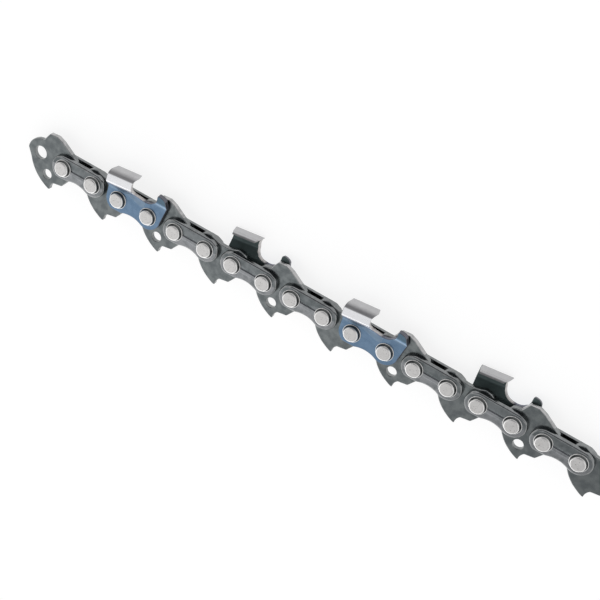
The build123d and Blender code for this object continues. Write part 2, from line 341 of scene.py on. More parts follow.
def xy(x, y):
    """Points from their two coordinates."""
    return np.column_stack((x, y))


def arc(middle, radius, start, end):
    """Points round a middle: middle plus radius times (cos a, sin a), for even angles in radians."""
    angle = np.linspace(start, end, max(3, int(abs(end - start) * radius / ARC_STEP)))
    return xy(middle[0] + radius * np.cos(angle), middle[1] + radius * np.sin(angle))


def bowed(start, end, rise):
    """An arc between two points that swells by rise to the right of the way: each chord from the start has
    length 2 r sin(p / 2) and is turned by half of the swept angle p."""
    run, climb = end[0] - start[0], end[1] - start[1]
    half = math.hypot(run, climb) / 2
    sweep = 4 * math.atan(rise / half)
    part = sweep * np.linspace(0, 1, BOW_POINTS)
    heading = math.atan2(climb, run) - sweep / 2 + part / 2
    reach = 2 * half / math.sin(sweep / 2) * np.sin(part / 2)
    return xy(start[0] + reach * np.cos(heading), start[1] + reach * np.sin(heading))


def eased(path, step, soft):
    """A closed path with even points and softened corners: every column is read at even distances along the
    first two columns and blurred along the path by a bell curve of reach soft."""
    closed = np.vstack((path, path[:1]))
    gone = np.concatenate(([0.0], np.cumsum(np.linalg.norm(np.diff(closed[:, :2], axis=0), axis=1))))
    moved = np.concatenate(([True], np.diff(gone) > 1e-9))
    count = round(gone[-1] / step)
    even = np.arange(count) * gone[-1] / count
    columns = np.stack([np.interp(even, gone[moved], column[moved]) for column in closed.T])
    wave = 2 * np.pi * np.fft.rfftfreq(count, gone[-1] / count)
    return np.fft.irfft(np.fft.rfft(columns) * np.exp(-0.5 * (wave * soft) ** 2), count).T


def outward(path):
    """Unit normals of a closed path, to the right of the way round it."""
    way = np.roll(path, -1, axis=0) - np.roll(path, 1, axis=0)
    way /= np.linalg.norm(way, axis=1, keepdims=True)
    return xy(way[:, 1], -way[:, 0])


def room_to_round(path, reach):
    """The share of a rounding's reach that fits at each point of a path: a part of the radius at which the
    path turns there, at most 1, lowest nearby and then smoothed along the path."""
    normal = outward(path)
    before, after = np.roll(normal, 1, axis=0), np.roll(normal, -1, axis=0)
    step = np.linalg.norm(np.roll(path, -1, axis=0) - path, axis=1).mean()
    bend = (before[:, 0] * after[:, 1] - before[:, 1] * after[:, 0]) / (2 * step)
    fits = np.clip(TIGHTEST / np.maximum(bend * reach, TIGHTEST), LEAST, 1.0)
    span = max(1, round(2 * reach / step))

    def nearby(values):
        wrapped = np.pad(values, span, mode="wrap")
        return np.lib.stride_tricks.sliding_window_view(wrapped, 2 * span + 1)

    return nearby(nearby(fits).min(axis=1)).mean(axis=1)


def pressed_edge(thickness, rolled, burr):
    """How far in and how deep the edge of a pressed sheet runs: flat, a quarter round of radius rolled, the
    wall, a quarter round of radius burr, flat again. Depth is a share of the thickness; the last row of
    values is 1 on the rounds and 0 elsewhere."""
    turn = np.linspace(0, np.pi / 2, ROUND_POINTS)
    wall = np.linspace(rolled, thickness - burr, WALL_POINTS)[1:-1]
    inset = np.concatenate(
        ([FACE_START * rolled], rolled * (1 - np.sin(turn)), 0 * wall, burr * (1 - np.cos(turn)), [2 * burr])
    )
    depth = np.concatenate(
        ([0], rolled * (1 - np.cos(turn)), wall, thickness - burr * (1 - np.sin(turn)), [thickness])
    )
    rounds = np.concatenate(([0], 0 * turn + 1, 0 * wall, 0 * turn + 1, [0]))
    return inset, depth / thickness, rounds


def filled(loops, inside):
    """Triangles over a flat region: the first loop is its outline, the others are holes, and the points
    inside it are joined by Delaunay's rule. Triangles whose middle lies in a hole are left out."""
    points = np.vstack((*loops, inside))
    counts = np.array([len(loop) for loop in loops])
    ends = np.cumsum(counts)
    index = np.arange(ends[-1])
    following = index + 1
    following[ends - 1] = ends - counts
    found = delaunay_2d_cdt(points.tolist(), np.column_stack((index, following)).tolist(), [], 1, 1e-7)
    if len(found[0]) != len(points):
        raise RuntimeError("an outline crosses itself or has doubled points")
    triangles = np.array(found[2])
    middles = points[triangles].mean(axis=1)
    for hole in loops[1:]:
        centre = hole.mean(axis=0)
        radius = np.linalg.norm(hole - centre, axis=1).mean()
        triangles = triangles[np.linalg.norm(middles - centre, axis=1) > radius]
        middles = points[triangles].mean(axis=1)
    return triangles


def grid_faces(rows, columns):
    """Quads between the neighbouring rows of a grid whose rows close on themselves."""
    here = np.arange(rows * columns).reshape(rows, columns)
    beside = np.roll(here, -1, axis=1)
    return np.stack((here[:-1], here[1:], beside[1:], beside[:-1]), axis=-1).reshape(-1, 4)


def circle(x, y, radius):
    """A hole's rim, clockwise."""
    return arc((x, y), radius, 0, -2 * np.pi)[:-1]


def pressed_sheet(loops, edge, near, far, near_inside, far_inside, trim=None):
    """A pressed sheet. Each loop is a near path, a far path and a share of rounding. The edge's profile is
    carried round each loop: a row at depth d lies at (1 - d) near + d far, in by the profile's inset. The
    near and far faces are filled between the loops' first and last rows. The sheet's own coordinates, depth,
    edge and wall shares and the way along and across the edge come back with the points."""
    inset, depth, rounds = (row[:, None] for row in edge)
    points, flat, marks, faces = [], [], [], []
    paths, indices = [], []
    start = 0
    for near_path, far_path, rounding in loops:
        rows, columns = len(inset), len(near_path)
        shape = (rows, columns)
        deep = np.broadcast_to(depth, shape)[..., None]
        path = near_path + deep * (far_path - near_path)
        rounding = rounding * room_to_round(near_path, inset.max())
        path = path - (inset * rounding)[..., None] * outward(near_path)
        placed = near(path) * (1 - deep) + far(path) * deep
        if trim:
            placed = trim(placed, path)
        step = np.linalg.norm(near_path - np.roll(near_path, 1, axis=0), axis=1)
        along = np.broadcast_to(np.cumsum(step), shape)
        wall = np.broadcast_to((depth > 0) & (depth < 1), shape)
        index = start + np.arange(rows * columns).reshape(shape)
        points.append(placed.reshape(-1, 3))
        flat.append(path.reshape(-1, 2))
        marks.append(np.stack((deep[..., 0], np.broadcast_to(rounds, shape), wall, along), axis=-1).reshape(-1, 4))
        faces += (grid_faces(rows, columns) + start).tolist()
        paths.append(path)
        indices.append(index)
        start += rows * columns
    near_side = (0, near_inside, near, 0.0, (0, 1, 2))
    far_side = (-1, far_inside, far, 1.0, (2, 1, 0))
    for row, inside, side, deep, order in (near_side, far_side):
        index = np.concatenate((*(index[row] for index in indices), start + np.arange(len(inside))))
        faces += index[filled([path[row] for path in paths], inside)][:, order].tolist()
        points.append(side(inside))
        flat.append(inside)
        marks.append(np.column_stack((np.full(len(inside), deep), np.zeros((len(inside), 3)))))
        start += len(inside)
    return np.vstack(points), np.vstack(flat), np.vstack(marks), faces


def mirrored(points, faces):
    """The same surface on the far side: z changes sign and every face runs the other way round."""
    return points * (1, 1, -1), [face[::-1] for face in faces]


def keep_inside(points, loop, margin):
    """The points inside a closed loop, at least margin away from it: a ray from such a point crosses the
    loop an odd number of times."""
    ahead = np.roll(loop, -1, axis=0)
    x, y = points[:, :1], points[:, 1:]
    straddles = (loop[:, 1] > y) != (ahead[:, 1] > y)
    rise = np.where(ahead[:, 1] == loop[:, 1], 1e-12, ahead[:, 1] - loop[:, 1])
    crossing = loop[:, 0] + (y - loop[:, 1]) / rise * (ahead[:, 0] - loop[:, 0])
    odd = (straddles & (x < crossing)).sum(axis=1) % 2 == 1
    apart = np.sqrt((x - loop[:, 0]) ** 2 + (y - loop[:, 1]) ** 2).min(axis=1)
    return points[odd & (apart > margin)]


def keep_outside(points, x, y, radius):
    """The points outside a circle."""
    return points[np.hypot(points[:, 0] - x, points[:, 1] - y) > radius]


def put(node, points, faces, place, material, slot, marks):
    """Makes the mesh of a piece at its place, with its marks as point attributes, and lets it stand for the
    node and move with the node's body."""
    mesh = bpy.data.meshes.new("dressed_" + node)
    mesh.from_pydata(((points + place) / 1000.0).tolist(), [], faces)
    for name, values in marks.items():
        values = np.asarray(values, np.float32)
        kind = "FLOAT_VECTOR" if values.ndim == 2 else "FLOAT"
        mark = mesh.attributes.new(name, kind, "POINT")
        mark.data.foreach_set("vector" if values.ndim == 2 else "value", values.ravel())
    mesh.shade_smooth()
    mesh.materials.append(material)
    piece = bpy.data.objects.new("dressed_" + node, mesh)
    bpy.context.scene.collection.objects.link(piece)
    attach(piece, BODY_OF[node])
    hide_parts(node)


# Finishes


class Nodes:
    """The nodes of one tree. Wherever a number or a colour goes in, a socket may feed it instead."""

    def __init__(self, tree):
        self.tree = tree

    def add(self, kind, inputs=None, **settings):
        """A node with its settings and inputs."""
        made = self.tree.nodes.new(kind)
        for key, value in settings.items():
            setattr(made, key, value)
        for key, value in (inputs or {}).items():
            if isinstance(value, bpy.types.NodeSocket):
                self.tree.links.new(value, made.inputs[key])
            else:
                made.inputs[key].default_value = value
        return made

    def noise(self, vector, scale, detail):
        """Even cloudy noise about one half."""
        return self.add("ShaderNodeTexNoise", {"Vector": vector, "Scale": scale, "Detail": detail}).outputs["Fac"]

    def ramp(self, value, low, high, to_low=0.0, to_high=1.0):
        """A value eased from one range to another and held at its ends."""
        ends = {"From Min": low, "From Max": high, "To Min": to_low, "To Max": to_high}
        made = self.add("ShaderNodeMapRange", {"Value": value} | ends, interpolation_type="SMOOTHSTEP")
        return made.outputs["Result"]

    def math(self, operation, first, second):
        """Two numbers put together."""
        return self.add("ShaderNodeMath", {0: first, 1: second}, operation=operation).outputs[0]

    def times(self, first, second):
        """The product of two numbers."""
        return self.math("MULTIPLY", first, second)

    def towards(self, vector, way):
        """How far a direction points a given way, from -1 to 1."""
        return self.add("ShaderNodeVectorMath", {0: vector, 1: way}, operation="DOT_PRODUCT").outputs["Value"]

    def over(self, colour, *layers):
        """A colour with others laid over it, each by its share."""
        for part, layer in layers:
            pair = [each if isinstance(each, bpy.types.NodeSocket) else (*each, 1.0) for each in (colour, layer)]
            colour = self.add("ShaderNodeMix", {0: part, 6: pair[0], 7: pair[1]}, data_type="RGBA").outputs[2]
        return colour


class Metal(Nodes):
    """A new bare metal, whose noise lies on the object"""

    def __init__(self, name):
        self.material = bpy.data.materials.new(name)
        self.material.use_nodes = True
        super().__init__(self.material.node_tree)
        self.place = self.add("ShaderNodeTexCoord").outputs["Object"]

    def clouds(self, scale, detail):
        """Noise on the object, with the scale per metre."""
        return self.noise(self.place, scale, detail)

    def mark(self, name, output="Fac"):
        """A piece's own attribute."""
        return self.add("ShaderNodeAttribute", attribute_name=name).outputs[output]

    def drawn_out(self, name, scale, detail):
        """Noise drawn out along a vector attribute."""
        inputs = {"Vector": self.mark(name, "Vector"), "Scale": scale}
        return self.noise(self.add("ShaderNodeMapping", inputs).outputs[0], 1.0, detail)

    def finish(self, colour, rough, height, strength, distance):
        """The material with its colour, its roughness and its small dents."""
        shader = self.tree.nodes["Principled BSDF"]
        shader.inputs["Metallic"].default_value = 1.0
        dents = self.add("ShaderNodeBump", {"Height": height, "Strength": strength, "Distance": distance})
        for key, socket in (("Base Color", colour), ("Roughness", rough), ("Normal", dents.outputs["Normal"])):
            self.tree.links.new(socket, shader.inputs[key])
        return self.material


class PressedMetal(Metal):
    """A metal for pressed sheets: fine grain on the faces, and streaks across the walls, which the punch leaves"""

    def __init__(self, name):
        super().__init__(name)
        self.streaks = self.drawn_out("edgeway", (5.0, 0.50, 1.0), 3.0)
        self.wall = self.mark("wall")

    def pressed(self, colour, rough):
        """The material with the dents of pressed sheets."""
        height = self.math("ADD", self.clouds(5200.0, 3.0), self.times(self.wall, self.streaks))
        return self.finish(colour, rough, height, 0.16, 0.00003)


def oiled_steel(name, light, dark, rubbed, bare):
    """Pressed steel with an oil-black finish: cloudy colour, paler parts, walls sheared bare in streaks and
    worn edges."""
    m = PressedMetal(name)
    clouds = m.clouds(420.0, 4.0)
    # Paler steel on the marked parts: the lower half of the straps' outer faces and the walls of the ramps' backs
    paler_share = m.times(m.mark("rub"), m.ramp(m.clouds(700.0, 4.0), 0.3, 0.6, 0.4, 1.0))
    sheared = m.times(m.wall, m.ramp(m.streaks, 0.36, 0.6, 0.1, 0.2))
    worn = m.times(m.times(m.mark("edge"), m.ramp(m.clouds(900.0, 3.0), 0.45, 0.75)), 0.2)
    cloudy = m.over(dark, (m.ramp(clouds, 0.34, 0.66), light))
    colour = m.over(cloudy, (paler_share, rubbed), (sheared, bare), (worn, bare))
    return m.pressed(colour, m.ramp(clouds, 0.3, 0.7, 0.27, 0.18))


def rivet_steel(tints):
    """Bright peened steel: speckled by the hammering, with faint rings about the middle, a painted highlight on
    the rim and painted shade on the walls."""
    m = Metal("bright_rivet_steel")
    specks = m.clouds(2600.0, 3.0)
    turned = m.drawn_out("ringway", (5.5, 0.12, 1.0), 2.0)
    rim = m.mark("rim")
    dark = m.math("MAXIMUM", m.times(m.ramp(specks, 0.40, 0.30), 0.8), m.times(m.ramp(turned, 0.46, 0.34), 0.35))
    # Painted light on the heads: a highlight on the rim and shade on the walls
    layers = (dark, tints.rivet_dark), (rim, tints.rivet_rim), (m.mark("wall"), tints.rivet_wall)
    colour = m.over(tints.rivet, *layers)
    rough = m.math("SUBTRACT", m.ramp(m.clouds(900.0, 2.0), 0.3, 0.7, 0.42, 0.30), m.times(rim, 0.14))
    return m.finish(colour, rough, m.math("ADD", specks, turned), 0.35, 0.00004)


def cutter_steel(tints):
    """Blued steel outside, with a painted highlight along the bends and painted shade on the gauge above its bend;
    oiled steel inside, darkened by painted shade; chrome on the upper part of the outside, with painted shade over
    the fold, a duller top partly darkened by painted shade, a painted highlight on the upper half of the free edge
    and a purple fringe under the chrome painted as a dark reflection; and bare steel where the file and the punch
    have been."""
    m = PressedMetal("blued_and_plated_steel")
    clouds = m.clouds(480.0, 4.0)
    rise, over, lean, depth = (m.mark(name) for name in ("rise", "over", "lean", "depth"))
    outside = m.ramp(depth, 0.75, 0.55)
    # Painted highlight bands: along the gauge's bend and on the body just under the step
    bend = m.times(m.ramp(lean, -0.7, -0.1), m.ramp(lean, 0.9, 0.3))
    foot = m.times(m.ramp(rise, -2.4, -1.8), m.ramp(rise, 1.2, 0.6))
    pale = m.math("ADD", bend, m.times(foot, m.ramp(rise, -0.2, -0.6)))
    blued = m.over(
        tints.blue_dark,
        (m.ramp(clouds, 0.32, 0.68), tints.blue),
        (m.times(pale, 0.7), tints.sheen),
        # painted shade on the gauge above its bend
        (m.ramp(lean, 0.4, 1.3), tints.shaded),
        # painted dark reflection under the chrome
        (m.times(m.ramp(rise, -0.6, -0.1), 0.7), tints.purple),
    )
    turned = m.ramp(over, 0.12, 0.24)
    # Painted shade on the plating over the fold, then a duller chrome on the top, partly darkened by painted shade
    plating = m.over(tints.chrome, (turned, tints.fold), (m.ramp(over, 0.24, 1.1), tints.satin))
    wavering = m.math("ADD", rise, m.times(m.clouds(1500.0, 2.0), 0.06))
    punched = m.over(tints.inside, (m.mark("ahead"), tints.punched))
    # Painted highlight: the upper half of the free edge takes the top's colour, standing for a rounded-over
    # corner; the lower half is darker steel
    sheared = m.over(tints.satin, (m.ramp(depth, 0.4, 0.6), tints.free))
    colour = m.over(
        # The inner faces start from the inside colour: oiled steel darkened with painted shade
        tints.inside,
        (outside, blued),
        (m.times(outside, m.ramp(wavering, 0.0, 0.5)), plating),
        (m.times(m.wall, 0.8), punched),
        (m.times(m.wall, m.ramp(over, 0.9, 1.0)), sheared),
        (m.times(m.mark("filed"), m.ramp(m.streaks, 0.36, 0.55, 0.6, 1.0)), tints.bare),
    )
    rough = m.ramp(clouds, 0.3, 0.7, 0.30, 0.20)
    for more in (m.ramp(outside, 0.0, 1.0, 0.25, 0.0), m.times(turned, 0.25), m.times(foot, 0.35)):
        rough = m.math("ADD", rough, more)
    return m.pressed(colour, rough)


# Pieces


def rivet_profile(r):
    """Radius and height of the near half of a rivet, from the middle of its face to the middle of its barrel:
    a face with rings z = top - depth (1 - cos(2 pi r / pitch)) / 2, a quarter round, the wall, the lip's half
    round, and the steps of shoulder and barrel."""
    out = np.linspace(POLE, r.face - r.round_over, FACE_POINTS)
    face = xy(out, HEAD_TOP - r.ring_depth * (1 - np.cos(2 * np.pi * out / r.ring_pitch)) / 2)
    turn = np.linspace(0, np.pi / 2, HEAD_POINTS)[1:]
    rounding = xy(r.face - r.round_over * (1 - np.sin(turn)), HEAD_TOP - r.round_over * (1 - np.cos(turn)))
    lip = np.linspace(np.pi / 2, -np.pi / 2, LIP_POINTS)
    half = r.flange_height / 2
    flange = xy(r.flange - half + half * np.cos(lip), PLATE_OUTER + half + half * np.sin(lip))
    heights = (PLATE_OUTER, PLATE_INNER, PLATE_INNER, PLATE_INNER / 2)
    steps = xy((r.shoulder, r.shoulder, r.barrel, r.barrel), heights)
    lip_top = PLATE_OUTER + r.flange_height
    root = xy((r.head, r.head + ROOT_RUN), (lip_top + ROOT_RISE, lip_top))
    return np.vstack((face, rounding, root, flange, steps))


def rivet_surface(r):
    """A rivet: its profile, above and mirrored below, turned about its axis, with a point at each pole. Its rim
    carries a painted highlight, strongest on the side of the tangs, where the key light stands."""
    half = rivet_profile(r)
    profile = np.vstack((half, half[::-1] * (1, -1)))
    angle = np.arange(r.sides) * 2 * np.pi / r.sides
    out, up = profile[:, :1], profile[:, 1:]
    rings = np.stack((out * np.cos(angle), out * np.sin(angle), up + 0 * angle), axis=-1)
    count = rings.shape[0] * rings.shape[1]
    points = np.vstack((rings.reshape(-1, 3), [(0, 0, HEAD_TOP), (0, 0, -HEAD_TOP)]))
    first = np.arange(r.sides)
    last = first + count - r.sides
    top = np.column_stack((np.full(r.sides, count), first, np.roll(first, -1)))
    bottom = np.column_stack((np.full(r.sides, count + 1), np.roll(last, -1), last))
    faces = grid_faces(*rings.shape[:2]).tolist() + top.tolist() + bottom.tolist()
    away = np.hypot(points[:, 0], points[:, 1])
    height = np.abs(points[:, 2])
    rounded = RIM_SHARE * r.round_over
    # The head's wall, which the finish paints dark as painted shade
    wall = (height < HEAD_TOP - rounded) & (height > PLATE_OUTER + r.flange_height)
    # Painted highlight on the rim, strongest towards the tangs, on the key light's side
    painted_rim_light = RIM_MEAN - RIM_SWING * points[:, 1] / np.maximum(away, 0.01)
    marks = {
        "ringway": np.column_stack((away, np.arctan2(points[:, 1], points[:, 0]), points[:, 2])),
        "rim": ((away > r.face - rounded) & ~wall) * painted_rim_light,
        "wall": wall,
    }
    return points, faces, marks


def round_ends(radius, span, waist, waist_depth):
    """The underside that straps and cutters share: the rear round from its rearmost point, the hollow waist
    and the front round up to its foremost point."""
    x = waist / 2
    meet = math.acos((x - span / 2) / radius)
    y = -radius * math.sin(meet)
    rear = arc((-span / 2, 0), radius, np.pi, np.pi + math.acos((span / 2 - x) / radius))
    front = arc((span / 2, 0), radius, -meet, 0)
    return np.vstack((rear, bowed((-x, y), (x, y), -waist_depth)[1:-1], front))


def flat_plate(height):
    """Puts the points of a sheet at one height."""
    return lambda path: np.concatenate((path, np.full((*path.shape[:-1], 1), height)), axis=-1)


def strap_surface(s):
    """A near tie strap: round ends, straight back, hollow waist and a pressed groove whose rings of points
    close in on the groove's line."""
    corner = STRAP_SPAN / 2 + s.corner
    front = arc((STRAP_SPAN / 2, 0), s.end, 0, s.corner_angle)
    rear = arc((-STRAP_SPAN / 2, 0), s.end, np.pi - s.corner_angle, np.pi)
    back = np.linspace((corner, s.top), (-corner, s.top), SIDE_POINTS)
    raw = np.vstack((round_ends(s.end, STRAP_SPAN, s.waist, s.waist_depth), front[1:], back, rear[:-1]))
    outline = eased(raw, STRAP_STEP, STRAP_SOFT)
    holes = [circle(x, 0.0, s.hole) for x in RIVETS_X]
    inner = eased(raw, RING_STEP, RING_SOFT)
    line = xy(np.clip(inner[:, 0], -s.groove_half, s.groove_half), np.full(len(inner), s.groove_height))
    aim = inner - line
    aim /= np.linalg.norm(aim, axis=1, keepdims=True)
    about_step = s.step_width + np.array((-STEP_SOFT, 0.0, STEP_SOFT))
    away = np.concatenate((np.linspace(0.03, 1.5 * s.groove_width, 8), about_step))
    rings = (line + away[:, None, None] * aim).reshape(-1, 2)
    rings = keep_inside(rings, outline, 2 * s.rolled)
    for x in RIVETS_X:
        rings = keep_outside(rings, x, 0.0, s.hole + STRAP_CLEAR)

    def near(path):
        """The outer face: a bell-shaped groove along its line and a small smooth step below it."""
        x = np.maximum(np.abs(path[..., 0]) - s.groove_half, 0.0)
        y = path[..., 1] - s.groove_height
        groove = s.groove_depth * np.exp(-((np.hypot(x, y) / s.groove_width) ** 2) * GROOVE_FALL)
        fall = np.clip((-y - s.step_width + STEP_SOFT) / (2 * STEP_SOFT), 0.0, 1.0)
        fade = np.exp(-((x / STEP_ENDS) ** 2)) * np.exp(-(((y + STEP_LOW) / STEP_REACH) ** 2))
        height = PLATE_OUTER - groove - s.step_depth * fall * fall * (3 - 2 * fall) * fade
        return np.concatenate((path, height[..., None]), axis=-1)

    edge = pressed_edge(PLATE_OUTER - PLATE_INNER, s.rolled, s.burr)
    loops = [(outline, outline, 1.0)] + [(hole, hole, RIM_ROUNDING) for hole in holes]
    return pressed_sheet(loops, edge, near, flat_plate(PLATE_INNER), rings, NO_POINTS)


def drive_link_surface(d, ramped):
    """A drive link: round ends, a saddle or a ramp between them, and a hooked tang below."""
    x = LINK_SPAN / 2
    slant = d.root * math.sqrt(0.5)
    tip = (d.tip, -d.depth)
    blunt = (d.tip - d.tip_width, -d.depth)
    scoop = (d.tip + d.hook_length, d.hook_rise - d.depth)
    if ramped:
        back = [
            (d.ramp_shoulder, d.ramp - d.shoulder_drop),
            (d.ramp_crest, d.ramp),
            (d.ramp_rear, d.ramp - d.rear_drop),
        ]
    else:
        back = bowed((x, d.boss), (-x, d.boss), -d.saddle)[1:-1]
    raw = np.vstack(
        (
            arc((-x, 0), d.boss, np.pi / 2, np.pi),
            bowed((-x - slant, -slant), blunt, d.swell),
            bowed(tip, scoop, -d.hook_hollow),
            [(d.keel, -d.keel_depth), (x + slant, -slant)],
            arc((x, 0), d.boss, 0, d.ramp_foot if ramped else np.pi / 2),
            back,
        )
    )
    outline = eased(raw, LINK_STEP, LINK_SOFT)
    holes = [circle(-x, 0.0, d.bore), circle(x, 0.0, d.bore)]
    if ramped:
        holes.append(circle(d.oil_x, -d.oil_depth, d.oil_hole))
    edge = pressed_edge(2 * LINK_FACE, d.rolled, d.rolled)
    loops = [(outline, outline, 1.0)] + [(hole, hole, BORE_ROUNDING) for hole in holes]
    return pressed_sheet(loops, edge, flat_plate(LINK_FACE), flat_plate(-LINK_FACE), NO_POINTS, NO_POINTS)


def cutter_measures(c, x):
    """Half width, height, foot and top of the step at this place: all grow evenly from heel to edge."""
    part = (x - c.heel) / (c.edge - c.heel)
    side = (c.heel_kerf + (c.kerf - c.heel_kerf) * part) / 2
    height = c.heel_top + (c.top - c.heel_top) * part
    foot = c.heel_foot + (c.foot - c.heel_foot) * part
    return side, height, foot, foot + (side - PLATE_OUTER) * math.tan(c.slope)


def fold_lengths(c):
    """Lengths up the folded sheet at the edge: step, side, corner and top plate."""
    side, height, foot, step_top = cutter_measures(c, c.edge)
    step = math.hypot(side - PLATE_OUTER, step_top - foot)
    return step, height - c.corner - step_top, np.pi / 2 * c.corner, c.reach - c.corner


def cutter_place(c, x, rise, inner):
    """A place on the cutter's outer or inner face, from the distance along the chain and the rise up the
    sheet above the foot of the step: straight up the body, out along the step, up the side, a quarter round
    and over the top. Ahead of the gullet the sheet leans outwards above the gauge's bend instead."""
    side, height, foot, step_top = cutter_measures(c, x)
    free = side - c.reach
    plate = PLATE_OUTER - PLATE_INNER
    low, corner = (PLATE_INNER, c.inner_corner) if inner else (PLATE_OUTER, c.corner)
    if inner:
        side, height = side - plate, height - plate
    step, up, turn, top = fold_lengths(c)
    on_step = rise / step
    on_side = (rise - step) / up
    angle = np.clip((rise - step - up) / turn, 0.0, 1.0) * np.pi / 2
    on_top = (rise - step - up - turn) / top
    zones = [rise < 0, rise < step, rise < step + up, rise < step + up + turn]
    y = np.select(
        zones,
        [
            foot + rise,
            foot + (step_top - foot) * on_step,
            step_top + (height - corner - step_top) * on_side,
            height - corner + corner * np.sin(angle),
        ],
        height,
    )
    z = np.select(
        zones,
        [
            low + 0 * rise,
            low + (side - low) * on_step,
            side + 0 * rise,
            side - corner + corner * np.cos(angle),
        ],
        side - corner - (side - corner - free) * on_top,
    )
    over = np.maximum(foot + rise - c.gauge_bend, 0.0)
    leaning = over > 0
    through = 0.0 if inner else plate
    tab_y = np.minimum(foot + rise, c.gauge_bend) + over * math.cos(c.gauge_lean)
    tab_y = tab_y - np.where(leaning, through * math.sin(c.gauge_lean), 0.0)
    tab_z = PLATE_INNER + np.where(leaning, through * math.cos(c.gauge_lean), through)
    tab_z = tab_z + over * math.sin(c.gauge_lean)
    ahead = x > c.gullet_x
    return np.stack((x, np.where(ahead, tab_y, y), np.where(ahead, tab_z, z)), axis=-1)


def cutter_face(c, inner):
    """The same with its bends rounded: the mean of seven places a little lower and higher up the sheet."""
    offsets = np.linspace(-1, 1, 7) * c.bend_soft

    def face(path):
        return np.mean([cutter_place(c, path[..., 0], path[..., 1] + offset, inner) for offset in offsets], axis=0)

    return face


def file_axis(c, z):
    """Where the round file's axis runs: level, and back towards the inside by the edge's sweep."""
    ahead = math.sqrt(c.file**2 - (c.file - c.file_over) ** 2)
    return c.edge + ahead + math.tan(c.sweep) * (z - c.kerf / 2), c.top + c.file_over - c.file


def front_limit(c, y, z):
    """How far forward the sheet reaches behind the gullet: up to the file's round above the file's axis, and
    below it down a bowl whose run and fall, as shares of its size to the power of its fullness, add up to 1."""
    x, axis = file_axis(c, z)
    over = np.clip(y - axis, 0.0, c.file)
    fall = np.clip((axis - y) / (axis - c.gullet_low), 0.0, 1.0)
    run = (1 - fall**c.fullness) ** (1 / c.fullness)
    return np.where(y > axis, x - np.sqrt(c.file**2 - over**2), c.gullet_x - (c.gullet_x - x + c.file) * run)


def rise_at(c, x, y):
    """How far up the sheet a height lies: along the slope of the step behind the gullet, plain elsewhere."""
    foot, step_top = cutter_measures(c, x)[2:]
    on_step = (y > foot) & (x < c.gullet_x)
    return np.where(on_step, (y - foot) * fold_lengths(c)[0] / (step_top - foot), y - foot)


def cutter_outline(c, s):
    """The cutter's outline on the unfolded sheet, anticlockwise: distance along the chain and rise for the
    outer face, the same for the inner face, and 1 where the file has been, down into the gullet. The gauge's
    crown is two quarters of ellipses."""
    under = round_ends(s.end, STRAP_SPAN, s.waist, s.waist_depth)
    crown = c.gullet_x + c.gullet + c.gauge_crown
    turn = np.linspace(0, np.pi / 2, CROWN_POINTS)
    nose = c.gauge_drop + c.gauge_round
    gauge = np.vstack(
        (
            [(c.gauge_front, c.gauge_bend)],
            xy(crown + c.gauge_run * np.cos(turn), c.gauge_top - nose * (1 - np.sin(turn))),
            xy(crown - c.gauge_crown * np.sin(turn), c.gauge_top - c.gauge_crown * (1 - np.cos(turn)))[1:],
        )
    )
    x, axis = file_axis(c, PLATE_OUTER)
    lean = np.linspace(np.pi / 2, BOWL_LEAN, BOWL_POINTS)[1:]
    rear = xy(
        c.gullet_x - (c.gullet_x - x + c.file) * np.cos(lean) ** (2 / c.fullness),
        axis - (axis - c.gullet_low) * np.sin(lean) ** (2 / c.fullness),
    )
    bowl = np.vstack((arc((c.gullet_x, c.gullet_low + c.gullet), c.gullet, 0, -np.pi / 2), rear))
    plain = np.vstack((under, gauge, bowl))
    plain = xy(plain[:, 0], rise_at(c, *plain.T))
    total = sum(fold_lengths(c))
    front = np.linspace(plain[-1, 1], total, EDGE_POINTS)[1:]
    heel = np.linspace(total, 0.0, SIDE_POINTS)

    def at_front(inner):
        x = np.full(len(front), c.edge)
        for _ in range(FRONT_TRIES):
            place = cutter_face(c, inner)(xy(x, front))
            x = front_limit(c, place[:, 1], place[:, 2])
        return x

    def at_heel(inner):
        place = cutter_face(c, inner)(xy(np.full(len(heel), c.heel), heel))
        return c.heel - math.tan(c.heel_slant) * (place[:, 2] - c.heel_kerf / 2)

    edge_rows = np.column_stack((at_front(False), front, at_front(True), front, np.ones(len(front))))
    heel_rows = np.column_stack((at_heel(False), heel, at_heel(True), heel, np.zeros(len(heel))))
    down = np.clip((c.gullet_x - plain[:, 0]) / c.gullet - FILED_FROM, 0.0, FILED_FROM) / FILED_FROM
    down[: -len(bowl)] = 0.0
    plain_rows = np.column_stack((plain, plain, down))
    free = np.linspace(edge_rows[-1], heel_rows[0], SIDE_POINTS)[1:-1]
    free[:, 4] = 0.0
    return eased(np.vstack((plain_rows, edge_rows, free, heel_rows)), CUTTER_STEP, CUTTER_SOFT)


